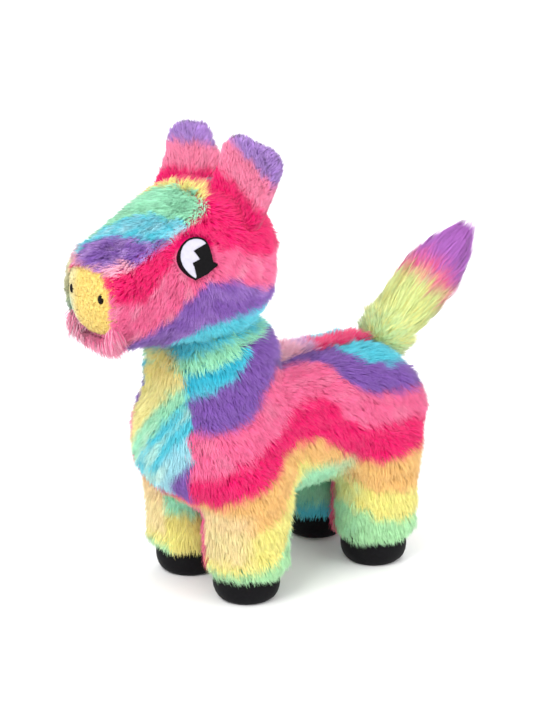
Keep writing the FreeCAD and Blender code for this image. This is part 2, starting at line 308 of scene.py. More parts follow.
def side_colour(p):
    x, y, z = p[:, 0], p[:, 1], p[:, 2]
    y = y + 2.0 * noise(p, 12, 1)
    ax = np.abs(x)
    h = z + 0.6 * np.maximum(0, 34 - ax) * step(112, 134, z) + 1.3 * noise(p, 7, 2)
    b1 = np.interp(y, [-92, -79, -67, -57, -50, 26, 34, 39, 45, 55, 74, 100],
                   [140, 142, 147, 156, 180, 180, 158, 150, 138, 133, 131, 128])
    b2 = np.interp(y, [-95, -83, -62, -42, -25, -7, 10, 19, 24, 40, 58, 79, 100],
                   [116, 115, 120, 136, 147, 151, 150, 141, 126, 117, 116, 113, 112])
    b3 = np.interp(y, [-94, -81, -62, -41, -24, -5, 8, 16, 28, 45, 62, 100],
                   [85, 89, 96, 107, 120, 125, 119, 108, 98, 96, 96, 93])
    b4 = np.interp(y, [-84, -80, -68, -51, -38, -25, -9, 8, 25, 37, 50, 75, 100],
                   [64, 68, 74, 84, 94, 99, 99, 89, 76, 74, 76, 80, 82])
    b5 = np.interp(y, [-79, -68, -51, -38, -22, 0, 20, 30, 38, 66, 100],
                   [50, 49, 54, 66, 87, 80, 66, 56, 53, 50, 49])
    b6 = np.interp(y, [-68, -45, -30, -8, 10, 22, 38, 67],
                   [22, 28, 52, 78, 74, 46, 34, 31])
    c = bands(h, [b6, b5, b4, b3, b2, b1],
              [mix(GREEN[None], LIME[None], np.array([0.3]))[0], YEL, ORANGE, MAG, PINK,
               PURP, TURQ])
    # a deeper turquoise at the shoulder, paler bits within the broad bands
    c = mix(c, DTURQ, step(0, 1, (h - b1) / 8) * step(-30, -60, y) * 0.8)
    pale = np.clip(noise(p, 16, 4), 0, 1) * 0.35
    c = mix(c, LPINK, 0.6 * pale * step(0, 4, h - b3 - 1) * step(0, 4, b2 - 1 - h))
    # the front leg is creamy towards the front
    f = step(-58, -74, p[:, 1]) * step(66, 58, z) * step(22, 34, z)
    c = mix(c, mix(CREAM[None], ORANGE[None], np.array([0.35]))[0], f * 0.8)
    # green under the belly arch
    f = step(86, 74, z) * step(30, 14, np.abs(y - 2)) * step(50, 44, ax)
    c = mix(c, GREEN, f * 0.7)
    return c


def chest_colour(p):
    w = p[:, 2] - 1.1 * p[:, 0] + 2.5 * noise(p, 9, 3)
    c = bands(w, [63, 80, 108, 124, 150],
              [PURP, BLUE, TURQ, GREEN, mix(YEL[None], CREAM[None], np.array([0.3]))[0],
               YEL], 5)
    top = step(138, 148, p[:, 2] + 2 * noise(p, 8, 6))
    c = mix(c, mix(ORANGE[None], YEL[None], np.array([0.5]))[0], top * 0.5)
    pale = np.clip(noise(p, 15, 9), 0, 1) * 0.55
    return mix(c, lin((226, 255, 224)), pale * step(122, 112, w) * step(60, 75, w))


def seam_x(z):
    return np.interp(z, [60, 72, 97, 117, 137, 151], [22, 25, 32, 29, 22, 19])


def leg_colour(p, c):
    """Inner sides of the legs are separate pieces of cloth."""
    x, y, z = p[:, 0], p[:, 1], p[:, 2]
    inner = step(23, 19, np.abs(x)) * step(66, 58, z) * step(20, 26, np.abs(y))
    zz = z + 2 * noise(p, 8, 7)
    left = bands(zz, [30, 52], [MAG, mix(MAG[None], PINK[None], np.array([0.5]))[0], PINK], 4)
    front = bands(zz, [34, 44, 58], [YEL, mix(LIME[None], ORANGE[None], np.array([0.5]))[0],
                                     GREEN, DGREEN], 4)
    rear = bands(zz, [26, 40], [TURQ, GREEN, DGREEN], 6)
    right = np.where((y > 0)[:, None], rear, front)
    return mix(c, np.where((x > 0)[:, None], left, right), inner)


def cheek_colour(p):
    x, y, z = p[:, 0], p[:, 1], p[:, 2]
    y = y + 1.5 * noise(p, 9, 1)
    h = z + 1.5 * noise(p, 7, 2)
    b1 = np.interp(y, [-150, -146, -131, -122, -112, -104, -85, -72, -57, -45, -26],
                   [218, 209, 210, 220, 230, 236, 236, 234, 228, 225, 224])
    b2 = np.interp(y, [-140, -132, -118, -106, -92, -73, -51, -26],
                   [176, 183, 190, 204, 214, 215, 205, 203])
    b3 = np.interp(y, [-130, -110, -91, -75, -56, -26], [150, 163, 182, 188, 191, 190])
    b4 = np.interp(y, [-110, -94, -88, -71, -51, -26], [150, 160, 163, 170, 173, 174])
    c = bands(h, [b4, b3, b2, b1], [GREEN, TURQ, PURP, PINK, MAG], 3.2)
    c = mix(c, LPINK, np.clip(noise(p, 14, 8), 0, 1) * 0.4 * ((h > b2) & (h < b1 - 2)))
    c = mix(c, LPURP, np.clip(noise(p, 13, 3), 0, 1) * 0.3 * ((h > b3) & (h < b2)))
    pale = step(-16, -21, x) * step(-131, -137, p[:, 1]) * step(184, 190, z)
    c = mix(c, bands(h, [199, 212], [lin((190, 236, 196)), lin((236, 240, 180)),
                                     lin((255, 246, 190))], 5), pale)
    # deep pink at the corner beside the muzzle
    return mix(c, RED, step(-145, -150, y) * step(216, 222, h) * 0.5 * (x > 0))


def forehead_z(y):
    return np.interp(y, [-151, -146, -141, -132, -120, -102, -85, -77, -60],
                     [224, 225.5, 227, 230, 236.5, 246, 254.5, 261, 270])


def forehead_colour(p):
    x, y, z = p[:, 0], p[:, 1], p[:, 2]
    ax = np.abs(x)
    y = y + 1.6 * noise(p, 8, 5)
    s = -y
    pink = 151 - 20 * np.clip(ax / 29, 0, 1.3) ** 2.2
    purp = np.interp(x, [-34, -14, -9, 3, 20, 32], [154, 143, 134, 128, 122, 109])
    blue = np.interp(x, [-34, -20, -4, 16, 30, 36], [138, 124, 108, 103, 96, 84])
    green = np.interp(x, [-30, -6, 12, 27], [90, 82, 78, 74])
    c = bands(s, [green, blue, purp, pink], [YEL, GREEN, TURQ, PURP, LPINK], 3.0)
    c = mix(c, BLUE, np.clip(0.35 + 0.4 * noise(p, 9, 4), 0, 1) * step(0, 3, s - blue) * step(0, 3, purp - s))
    return mix(c, LPURP, np.clip(0.25 + 0.5 * noise(p, 8, 2), 0, 1) * step(0, 3, s - purp) * step(0, 3, pink - s))


def head_colour(p):
    c = cheek_colour(p)
    f = step(-1.5, 1.5, p[:, 2] - forehead_z(p[:, 1])) * step(-56, -60, p[:, 1])
    c = mix(c, forehead_colour(p), f)
    # behind and between the ears
    b = step(-58, -52, p[:, 1]) * step(238, 244, p[:, 2]) * step(16, 8, np.abs(p[:, 0]))
    return mix(c, TURQ, b)


def fur_colour(p, cloth=False):
    body = side_colour(p)
    front = step(1.2, -1.2, np.abs(p[:, 0]) - seam_x(p[:, 2])) * step(-68, -74, p[:, 1]) \
        * step(66, 70, p[:, 2])
    body = mix(body, chest_colour(p), front)
    body = leg_colour(p, body)
    # the head cloth reaches down the neck to a slanted seam
    seam = np.interp(p[:, 1], [-93, -86, -72, -52, -30], [149, 152, 159, 168, 171])
    f = step(-1, 1, p[:, 2] - seam) * step(-97, -93, p[:, 1])
    f = np.maximum(f, (head_d(p) < torso_d(p)).astype(float))
    c = mix(body, head_colour(p), f)
    return mix(c, muzzle_colour(p), (muzzle_in(p) < 1.1) * 1.0) if cloth else c


def muzzle_in(p):
    """Below 1 inside the short-pile patch on the muzzle."""
    return np.where(p[:, 1] < -132,
                    np.abs(p[:, 0] / 22.5) ** 3 + np.abs((p[:, 2] - 205.5) / 21.5) ** 3, 9.0)


def muzzle_colour(p):
    base = lin((255, 222, 124))
    c = np.broadcast_to(base, p.shape).copy()
    c = mix(c, lin((246, 200, 96)), np.clip(0.5 + 0.5 * noise(p, 3.0, 2), 0, 1) * 0.45)
    c = mix(c, lin((248, 238, 180)), step(-6, -16, p[:, 0]) * 0.75)
    return mix(c, lin((200, 232, 200)), step(-12, -22, p[:, 0]) * step(208, 198, p[:, 2]))


# ----------------------------------------------------------------------------
# Lie of the pile
# ----------------------------------------------------------------------------
EYE_C = {1: np.array([41.0, -96.5, 232.0]), -1: np.array([-41.0, -96.5, 232.0])}


def fur_flow(p):
    x, y, z = p[:, 0], p[:, 1], p[:, 2]
    sx = np.tanh(x / 12.0)
    v = np.stack([0.25 * sx, 0.25 + 0 * y, -1 + 0 * z], -1)
    top = step(118, 134, z) * (y > -30)
    v = v * (1 - top[:, None]) + top[:, None] * np.stack([0.9 * sx, 0.7 + 0 * y, -0.3 + 0 * z], -1)
    hd = (head_d(p) < torso_d(p)).astype(float)
    t = step(-60, -115, y)[:, None]
    back = np.stack([0.1 * sx, 0.75 + 0 * y, -0.75 + 0 * z], -1)
    fwd = np.stack([-0.05 * sx, -0.75 + 0 * y, -0.75 + 0 * z], -1)
    hv = back * (1 - t) + fwd * t
    fore = step(-3, 3, z - forehead_z(y)) * (y < -58)
    fv = np.stack([0.25 + 0.25 * sx, -0.95 + 0 * y, -0.1 + 0 * z], -1)
    hv = hv * (1 - fore[:, None]) + fv * fore[:, None]
    # round the muzzle the pile lies over its edge
    m = muzzle_in(p)
    near = step(2.4, 1.2, m)[:, None]
    mv = np.stack([-x / 24, -1.2 + 0 * y, -(z - 206) / 34 - 0.25], -1)
    hv = hv * (1 - near) + mv * near
    v = v * (1 - hd[:, None]) + hv * hd[:, None]
    w = np.stack([noise(p, 14, 1), noise(p, 14, 4), noise(p, 14, 7)], -1)
    v = unit(v) + 0.24 * w
    for s in (1, -1):
        d = p - EYE_C[s]
        f = step(22, 12, length(d))[:, None]
        v = v * (1 - f) + unit(d) * f
    return v


def fur_length(p):
    x, y, z = p[:, 0], p[:, 1], p[:, 2]
    L = np.full(len(p), 10.0)
    hd = head_d(p) < torso_d(p)
    L[hd] = 8.6
    L = np.where(hd & (muzzle_in(p) < 2.2), 6.5, L)
    L = np.where(~hd & (z < 62), 9.0, L)
    L = L + 2.5 * step(36, 24, z)
    L = L + 3.5 * step(190, 180, z) * step(168, 176, z) * (y < -50)
    L *= 1 + 0.13 * noise(p, 11, 3)
    for s in (1, -1):
        L *= 1 - 0.35 * step(18, 13, length(p - EYE_C[s]))
    return L


# ----------------------------------------------------------------------------
# Materials
# ----------------------------------------------------------------------------
def material(name, rough=0.9, sheen=0.0, sheen_rough=0.5, spec=0.25, attr="Col",
             bump=None, mottle=0.12, tint=None, rnd=0.0, sss=0.0):
    m = bpy.data.materials.new(name)
    m.use_nodes = True
    nt = m.node_tree
    nt.nodes.clear()
    out = nt.nodes.new("ShaderNodeOutputMaterial")
    b = nt.nodes.new("ShaderNodeBsdfPrincipled")
    nt.links.new(b.outputs[0], out.inputs[0])
    b.inputs["Roughness"].default_value = rough
    b.inputs["Specular IOR Level"].default_value = spec
    b.inputs["Sheen Weight"].default_value = sheen
    b.inputs["Sheen Roughness"].default_value = sheen_rough
    tc = nt.nodes.new("ShaderNodeTexCoord")
    col = nt.nodes.new("ShaderNodeAttribute")
    col.attribute_name = attr
    n1 = nt.nodes.new("ShaderNodeTexNoise")
    n1.inputs["Scale"].default_value = 420
    n1.inputs["Detail"].default_value = 2
    nt.links.new(tc.outputs["Object"], n1.inputs["Vector"])
    ramp = nt.nodes.new("ShaderNodeMapRange")
    ramp.inputs["From Min"].default_value = 0.3
    ramp.inputs["From Max"].default_value = 0.7
    ramp.inputs["To Min"].default_value = 1 - mottle
    ramp.inputs["To Max"].default_value = 1 + mottle
    nt.links.new(n1.outputs["Fac"], ramp.inputs["Value"])
    mul = nt.nodes.new("ShaderNodeVectorMath")
    mul.operation = "SCALE"
    nt.links.new(col.outputs["Color"], mul.inputs[0])
    nt.links.new(ramp.outputs[0], mul.inputs["Scale"])
    nt.links.new(mul.outputs[0], b.inputs["Base Color"])
    if bump:
        n2 = nt.nodes.new("ShaderNodeTexNoise")
        n2.inputs["Scale"].default_value = bump[0]
        n2.inputs["Detail"].default_value = 4
        nt.links.new(tc.outputs["Object"], n2.inputs["Vector"])
        bp = nt.nodes.new("ShaderNodeBump")
        bp.inputs["Strength"].default_value = bump[1]
        bp.inputs["Distance"].default_value = bump[2]
        nt.links.new(n2.outputs["Fac"], bp.inputs["Height"])
        nt.links.new(bp.outputs[0], b.inputs["Normal"])
    return m


M_FUR = material("pile_fur", 0.85, 0.15, 0.45, 0.15, mottle=0.05)
M_LONG = material("long_silky_pile", 0.6, 0.2, 0.4, 0.3, mottle=0.07)
M_BACK = material("pile_backing", 0.95, 0.1, 0.5, 0.1, bump=(900, 0.5, 0.0008))
M_MUZZLE = material("muzzle_short_pile", 0.9, 0.25, 0.5, 0.15, mottle=0.1)
M_HOOF = material("hoof_velour", 0.85, 0.06, 0.35, 0.15, bump=(1600, 0.35, 0.0004), mottle=0.25)
M_WHITE = material("eye_thread_white", 0.5, 0.05, 0.4, 0.35, mottle=0.05, bump=(2500, 0.25, 0.0002))
M_BLACK = material("eye_thread_black", 0.7, 0.0, 0.4, 0.12, mottle=0.25, bump=(2500, 0.25, 0.0002))


# ----------------------------------------------------------------------------
# Mesh building
# ----------------------------------------------------------------------------
def set_colour(me, col):
    a = me.color_attributes.new("Col", "FLOAT_COLOR", "POINT")
    rgba = np.ones((len(col), 4), np.float32)
    rgba[:, :3] = np.clip(col, 0, 1)
    a.data.foreach_set("color", rgba.ravel())


def make_object(name, verts, faces, col, mat, smooth=True, loops=None):
    """faces is a list of arrays of equal-sided polygons; verts in mm."""
    me = bpy.data.meshes.new(name)
    v = world(verts)
    me.vertices.add(len(v))
    me.vertices.foreach_set("co", v.astype(np.float32).ravel())
    idx = np.concatenate([f.ravel() for f in faces]).astype(np.int32)
    sides = np.concatenate([np.full(len(f), f.shape[1]) for f in faces])
    starts = np.concatenate([[0], np.cumsum(sides)[:-1]]).astype(np.int32)
    me.loops.add(len(idx))
    me.loops.foreach_set("vertex_index", idx)
    me.polygons.add(len(sides))
    me.polygons.foreach_set("loop_start", starts)
    me.update(calc_edges=True)
    me.polygons.foreach_set("use_smooth", np.full(len(sides), smooth))
    set_colour(me, col)
    o = bpy.data.objects.new(name, me)
    bpy.context.scene.collection.objects.link(o)
    me.materials.append(mat)
    return o


def normals(o, nrm):
    o.data.normals_split_custom_set_from_vertices([tuple(n) for n in nrm.astype(float)])


def net_piece(name, f, lo, hi, h, colour, mat, painted_shade=0.92):
    v, q = surface_net(f, lo, hi, h)
    v = settle(f, v, 0, 2)
    # the cloth under the pile is painted 8% darker: painted shade cast by the strands above it
    col = (fur_colour(v, True) if colour is fur_colour else colour(v)) * painted_shade
    o = make_object(name, v, [q], col, mat)
    return o, v, q


def sample(v, q, density, keep):
    """Points spread over the quads, about density per square mm."""
    tri = np.concatenate([q[:, [0, 1, 2]], q[:, [0, 2, 3]]])
    a, b, c = v[tri[:, 0]], v[tri[:, 1]], v[tri[:, 2]]
    area = 0.5 * length(np.cross(b - a, c - a))
    mid = (a + b + c) / 3
    ok = keep(mid)
    area = area * ok
    n = int(area.sum() * density)
    if n < 1:
        return np.zeros((0, 3))
    t = RNG.choice(len(tri), n, p=area / area.sum())
    r1, r2 = np.sqrt(RNG.random(n)), RNG.random(n)
    return (a[t] * (1 - r1)[:, None] + b[t] * (r1 * (1 - r2))[:, None]
            + c[t] * (r1 * r2)[:, None])


def tufts(root, size, seed):
    """For each root, the index of a nearby root that leads its tuft."""
    g = np.random.default_rng(seed)
    n = len(root)
    lead = g.choice(n, max(1, int(n * size)), replace=False)
    kd = kdtree.KDTree(len(lead))
    for i, k in enumerate(lead):
        kd.insert(root[k], int(k))
    kd.balance()
    return np.array([kd.find(r)[1] for r in root])


def fur(name, root, nrm, flow, L, colour, mat, width=0.42, tilt=(42, 11), curl=22,
        tuft=0.05, pull=0.30, segs=2, tips=0.10, embed=1.0, jitter=0.30, lift=1.5,
        tip_colour=None, big=0.005, bigpull=0.10, shape=None, drop=0.0):
    """Closed, tapered, bent strands rooted in the cloth, gathered in tufts."""
    n = len(root)
    t = flow - nrm * (flow * nrm).sum(-1)[:, None]
    t = unit(t)
    side = np.cross(nrm, t)
    ang = RNG.normal(0, jitter, n)
    t = t * np.cos(ang)[:, None] + side * np.sin(ang)[:, None]
    side = np.cross(nrm, t)
    a = np.radians(np.clip(RNG.normal(tilt[0], tilt[1], n), 5, 78))
    L = L * RNG.uniform(0.78, 1.15, n)
    pts = [root - nrm * embed]
    cur = root
    for k in range(segs):
        ak = a + np.radians(curl) * k / max(1, segs - 1)
        d = nrm * np.cos(ak)[:, None] + t * np.sin(ak)[:, None]
        cur = cur + d * (L / segs)[:, None]
        pts.append(cur)
    pts = np.stack(pts, 1)                      # n, segs+1, 3
    pts0 = pts[:, 1] * 0.35 + pts[:, -1] * 0.65
    if shape is not None:
        pts = shape(pts)
    if tuft:
        for frac, force, sd in ((tuft, pull, 11), (big, bigpull, 12)):
            lead = tufts(root, frac, sd)
            w = (np.linspace(0, 1, segs + 1) ** 1.5)[None, :, None] \
                * force * RNG.uniform(0.5, 1.25, (n, 1, 1))
            pts = pts * (1 - w) + (pts[lead]) * w
        shade = np.random.default_rng(77).normal(1, 0.035, n)[tufts(root, tuft, 11)]
    else:
        shade = np.ones(n)
    shade = shade * RNG.normal(1, 0.05, n)
    prof = [0.8, 1.0, 0.0] if segs == 2 else [0.8, 1.0, 0.8, 0.0]
    ring = segs                                   # rings 0..segs-1, then a tip
    ph = RNG.uniform(0, 2.1, n)
    V, N, C = [], [], []
    axis = unit(pts[:, -1] - pts[:, 0])
    s1 = unit(np.cross(axis, nrm + 1e-3))
    over = unit(nrm - axis * (nrm * axis).sum(-1)[:, None] * drop)
    s2 = np.cross(axis, s1)
    base_col = colour(pts0)
    for k in range(ring):
        r = width * 0.5 * prof[k] * (L / L.mean()) ** 0.3
        u = k / segs
        for j in range(3):
            o = s1 * np.cos(ph + j * 2.0944)[:, None] + s2 * np.sin(ph + j * 2.0944)[:, None]
            V.append(pts[:, k] + o * r[:, None])
            N.append(unit(over * lift + o * 0.45))
            # the root ring is painted 3% darker: painted shade at the foot of each strand
            C.append((0.97 if k == 0 else 1.0))
    V.append(pts[:, -1])
    N.append(unit(over * lift + axis * 0.3 * (1 - drop)))
    C.append(1.0)
    V = np.stack(V, 1)
    N = np.stack(N, 1)
    col = np.empty_like(V)
    white = np.array([1.0, 1.0, 1.0])
    for k in range(V.shape[1]):
        c = base_col * shade[:, None] * C[k]
        if k == V.shape[1] - 1:
            c = c * (1 - tips) + white * tips * (0.35 + 0.65 * base_col.mean(-1))[:, None]
            if tip_colour is not None:
                c = tip_colour(V[:, k], c)
        elif tip_colour is not None and k >= 3:
            c = tip_colour(V[:, k], c)
        col[:, k] = c
    m = V.shape[1]
    base = (np.arange(n) * m)[:, None]
    quads = []
    for k in range(ring - 1):
        for j in range(3):
            j2 = (j + 1) % 3
            quads.append(base + np.array([3 * k + j, 3 * k + j2, 3 * k + 3 + j2, 3 * k + 3 + j])[None])
    tris = [base + np.array([0, 2, 1])[None]]
    last = 3 * (ring - 1)
    for j in range(3):
        tris.append(base + np.array([last + j, last + (j + 1) % 3, m - 1])[None])
    o = make_object(name, V.reshape(-1, 3), [np.concatenate(quads), np.concatenate(tris)],
                    col.reshape(-1, 3), mat)
    normals(o, N.reshape(-1, 3))
    # each strand has its own small cell of the texture sheet
    me = o.data
    g = int(math.ceil(math.sqrt(n)))
    cell = np.stack([np.arange(n) % g, np.arange(n) // g], -1) / g
    loc = np.array([[(0.2, 0.5, 0.8)[j], 0.15 + 0.5 * k] for k in range(ring) for j in range(3)]
                   + [[0.5, 0.88]])
    loc[:, 1] = np.clip(loc[:, 1], 0.12, 0.88)
    if ring == 3:
        loc[:9, 1] = np.repeat([0.12, 0.37, 0.62], 3)
    uv = (cell[:, None, :] + loc[None] / g).reshape(-1, 2)
    li = np.empty(len(me.loops), np.int32)
    me.loops.foreach_get("vertex_index", li)
    layer = me.uv_layers.new(name="OFBake")
    layer.data.foreach_set("uv", uv[li].astype(np.float32).ravel())
    return o


def box_uv(o):
    """A plain unwrapping for the cloth under the pile."""
    me = o.data
    n = len(me.polygons)
    g = int(math.ceil(math.sqrt(n)))
    ls = np.empty(n, np.int32)
    lt = np.empty(n, np.int32)
    me.polygons.foreach_get("loop_start", ls)
    me.polygons.foreach_get("loop_total", lt)
    uv = np.zeros((len(me.loops), 2), np.float32)
    cell = np.stack([np.arange(n) % g, np.arange(n) // g], -1) / g
    corner = np.array([[0.1, 0.1], [0.9, 0.1], [0.9, 0.9], [0.1, 0.9]]) / g
    for k in range(4):
        ok = lt > k
        uv[ls[ok] + k] = cell[ok] + corner[k]
    layer = me.uv_layers.new(name="OFBake")
    layer.data.foreach_set("uv", uv.ravel())


# ----------------------------------------------------------------------------
# Eyes: outlines in mm on the cheek, first number towards the nose, second up
# ----------------------------------------------------------------------------
def chaikin(pts, keep, turns=3):
    pts = [np.array(p, float) for p in pts]
    hard = [i in keep for i in range(len(pts))]
    for _ in range(turns):
        q, h = [], []
        n = len(pts)
        for i in range(n):
            a, b, c = pts[i - 1], pts[i], pts[(i + 1) % n]
            if hard[i]:
                q.append(b)
                h.append(True)
            else:
                q += [b * 0.75 + a * 0.25, b * 0.75 + c * 0.25]
                h += [False, False]
        pts, hard = q, h
    return np.array(pts)


def inside(pt, poly):
    x, y = pt[..., 0], pt[..., 1]
    r = np.zeros(x.shape, bool)
    n = len(poly)
    for i in range(n):
        x0, y0 = poly[i]
        x1, y1 = poly[(i + 1) % n]
        if y0 == y1:
            continue
        c = ((y0 > y) != (y1 > y)) & (x < (x1 - x0) * (y - y0) / (y1 - y0) + x0)
        r ^= c
    return r


def poly_dist(pt, poly):
    best = np.full(pt.shape[:-1], 1e9)
    n = len(poly)
    for i in range(n):
        a, b = poly[i], poly[(i + 1) % n]
        d = b - a
        t = np.clip(((pt - a) @ d) / max(d @ d, 1e-9), 0, 1)
        best = np.minimum(best, length(pt - a - t[..., None] * d))
    return best


EYE_SIZE = 0.94
EYE_OUT = chaikin([(2.5, 12.3), (7.8, 9.6), (11.7, 4.6), (12.4, -0.5), (10.6, -5.6),
                   (7.4, -9.8), (5.2, -12.0), (0.8, -11.2), (-4.3, -10.6), (-7.2, -9.0),
                   (-11.8, -7.4), (-12.0, -6.5), (-9.3, -5.6), (-9.6, -1.0), (-9.9, 4.0),
                   (-9.2, 8.6), (-6.6, 11.0), (-2.3, 12.5)], {6, 10, 11})
PUPIL = np.array([(-12.0, 6.8), (-7.4, 6.3), (0.8, 4.6), (-1.4, -0.8), (3.9, -1.7),
                  (3.7, -9.4), (5.2, -12.0), (0.8, -11.2), (-4.3, -10.6), (-7.2, -9.0),
                  (-11.8, -7.4), (-12.0, -6.5), (-9.3, -5.6), (-9.6, -1.0), (-12.0, 4.0)],
                 float)


def eye_frame(s):
    c = EYE_C[s].copy()
    c = settle(skin_d, c[None], 0)[0]
    n = grad(skin_d, c[None])[0]
    a = np.array([0.0, -1.0, -0.12])
    a = unit(a - n * (a @ n))
    b = np.cross(n, a)
    if b[2] < 0:
        b = -b
    return c, n, a, b


def eye_local(p, s):
    c, n, a, b = eye_frame(s)
    q = p - c
    return np.stack([q @ a, q @ b], -1) / EYE_SIZE


def patch(name, s, mask, height, colour, mat, h=0.24, r=14.5, skirt=1.5):
    """A raised embroidered patch over the cells of a grid where mask is true."""
    c, n, a, b = eye_frame(s)
    g = np.arange(-r, r + h, h)
    U, W = np.meshgrid(g, g, indexing="ij")
    uv = np.stack([U, W], -1)
    mid = uv[:-1, :-1] + h / 2
    m = mask(mid)
    use = np.zeros(U.shape, bool)
    for i, j in ((0, 0), (1, 0), (0, 1), (1, 1)):
        use[i:i + m.shape[0], j:j + m.shape[1]] |= m
    idx = -np.ones(U.shape, int)
    idx[use] = np.arange(use.sum())
    flat = uv[use]
    p0 = c + (flat[:, :1] * a + flat[:, 1:] * b) * EYE_SIZE
    p0 = settle(skin_d, p0, 0, 5)
    nn = grad(skin_d, p0)
    top = p0 + nn * height(flat)[:, None]
    low = p0 - nn * skirt
    k = len(flat)
    cells = np.argwhere(m)
    quad = np.stack([idx[cells[:, 0], cells[:, 1]], idx[cells[:, 0] + 1, cells[:, 1]],
                     idx[cells[:, 0] + 1, cells[:, 1] + 1], idx[cells[:, 0], cells[:, 1] + 1]], -1)
    if np.dot(np.cross(a, b), n) < 0:
        quad = quad[:, ::-1]
    faces = [quad, quad[:, ::-1] + k]
    # walls where an edge has one face only
    e = np.concatenate([quad[:, [0, 1]], quad[:, [1, 2]], quad[:, [2, 3]], quad[:, [3, 0]]])
    key = np.sort(e, 1)
    _, inv, cnt = np.unique(key[:, 0] * 1000003 + key[:, 1], return_inverse=True,
                            return_counts=True)
    rim = e[cnt[inv] == 1]
    faces.append(np.stack([rim[:, 1], rim[:, 0], rim[:, 0] + k, rim[:, 1] + k], -1))
    col = np.concatenate([colour(flat), colour(flat)])
    return make_object(name, np.concatenate([top, low]), faces, col, mat)


def eye(s, side):
    top = 5.6

    def black(uv):
        i = inside(uv, EYE_OUT)
        rim = i & (poly_dist(uv, EYE_OUT) < 1.15)
        return (rim | (inside(uv, PUPIL) & i))

    def white(uv):
        return inside(uv, EYE_OUT) & ~black(uv)

    def black_h(uv):
        d = poly_dist(uv, EYE_OUT)
        th = 0.16 * np.abs(np.sin(uv[:, 0] * 6.2 + 0.5 * np.sin(uv[:, 1] * 2.0)))
        edge = np.clip(d / 0.5, 0, 1) ** 0.5
        return top - 0.25 + 0.35 * edge + th

    def white_h(uv):
        th = 0.14 * np.abs(np.sin(uv[:, 0] * 5.6 + 0.35 * np.sin(uv[:, 1] * 1.3)))
        return top - 0.25 + th + 0.1 * np.sin(uv[:, 1] * 1.1)

    def w_col(uv):
        c = np.broadcast_to(lin((190, 187, 203)), (len(uv), 3)).copy()
        th = 0.5 + 0.5 * np.sin(uv[:, 0] * 11.2 + 0.7 * np.sin(uv[:, 1] * 1.3))
        return c * (0.86 + 0.14 * th)[:, None]

    def b_col(uv):
        c = np.broadcast_to(lin((6, 5, 7)), (len(uv), 3)).copy()
        th = 0.5 + 0.5 * np.sin(uv[:, 0] * 12.4 + np.sin(uv[:, 1] * 2.0))
        return c * (0.7 + 0.8 * th)[:, None]
    w = patch("eye_white_thread_" + side, s, white, white_h, w_col, M_WHITE)
    b = patch("eye_black_thread_" + side, s, black, black_h, b_col, M_BLACK)
    for o, sl in ((w, "eye_thread_white"), (b, "eye_thread_black")):
        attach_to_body(o, "head")
    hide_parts("eye_white_" + side)
    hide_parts("eye_pupil_" + side)


# ----------------------------------------------------------------------------
# Cloth regions.  Each is a closed form cut out of the whole.
# ----------------------------------------------------------------------------
def leg_zone(p, leg):
    sx, sy = LEGS[leg]
    return np.maximum(np.maximum(np.hypot(p[..., 0] - sx * 30, p[..., 1] - sy * 52) - 32.5,
                                 p[..., 2] - 66), -sx * p[..., 0])


def torso_piece(p):
    d = np.maximum(skin_d(p), p[..., 2] - 136.5)
    for leg in LEGS:
        d = np.maximum(d, -leg_zone(p, leg))
    return d


def neck_low(p):
    return np.maximum(np.maximum(skin_d(p), 136.5 - p[..., 2]), p[..., 2] - 156)


def head_zone(p):
    return head_d(p) - torso_d(p)


def neck_high(p):
    return np.maximum(np.maximum(skin_d(p), 156 - p[..., 2]), -head_zone(p))


def head_piece(p):
    return np.maximum(np.maximum(skin_d(p), head_zone(p)), 156 - p[..., 2])


def P(x, y, z):
    return tuple(world((x, y, z)))


def near_skin(p):
    return np.abs(skin_d(p)) < 0.8


def fur_keep(p):
    ok = near_skin(p) & (muzzle_in(p) > 1.0)
    ok &= ~((p[:, 2] < 23.5) & (length(p[:, :2] - np.array([0, 0])) < 200) & (p[:, 2] < 21.5))
    for s in (1, -1):
        close = length(p - EYE_C[s]) < 24
        if close.any():
            loc = eye_local(p, s)
            d = poly_dist(loc, EYE_OUT)
            ok &= ~(close & (inside(loc, EYE_OUT) | (d < 0.3)))
    return ok


DENS = 2.0
GROUPS = []


def dress(name, f, lo, hi, attach, nodes, slots="banded_pile", split=None, dens=DENS,
          extra_keep=None, **kw):
    o, v, q = net_piece(name + "_cloth", f, lo, hi, 3.0, fur_colour, M_BACK)
    box_uv(o)
    attach(o)
    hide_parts(*nodes)

    def keep(p):
        k = near_skin(p)
        return k
    root = sample(v, q, dens, keep)
    root = settle(skin_d, root, 0, 3)
    k = fur_keep(root)
    if extra_keep is not None:
        k &= extra_keep(root)
    root = root[k]
    parts = [("", np.ones(len(root), bool))] if split is None else split(root)
    pieces = []
    for tag, sel in parts:
        many = int(math.ceil(sel.sum() / 19000.0))
        cuts = np.quantile(root[sel, 1], np.linspace(0, 1, many + 1)) if many > 1 else None
        for k in range(many):
            if many == 1:
                pieces.append((tag, root[sel]))
            else:
                y = root[:, 1]
                hi = y < cuts[k + 1] if k < many - 1 else y < 1e9
                lo_ = y >= cuts[k] if k else y > -1e9
                pieces.append(("%s_%d" % (tag, k + 1), root[sel & hi & lo_]))
    for tag, r in pieces:
        if len(r) < 10:
            continue
        n = grad(skin_d, r)
        fo = fur(name + "_pile" + tag, r, n, fur_flow(r), fur_length(r), fur_colour, M_FUR, **kw)
        attach(fo)
        print(fo.name, len(r), "strands")
    return o


def ride_on(body):
    return lambda o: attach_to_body(o, body)


def split_torso(r):
    x, y, z = r[:, 0], r[:, 1], r[:, 2]
    L = x >= 0
    a = y < -48
    c = y > 20
    out = []
    for nm, side in (("_left", L), ("_right", ~L)):
        out += [(nm + "_front", side & a), (nm + "_middle", side & ~a & ~c),
                (nm + "_rear", side & c)]
    return out


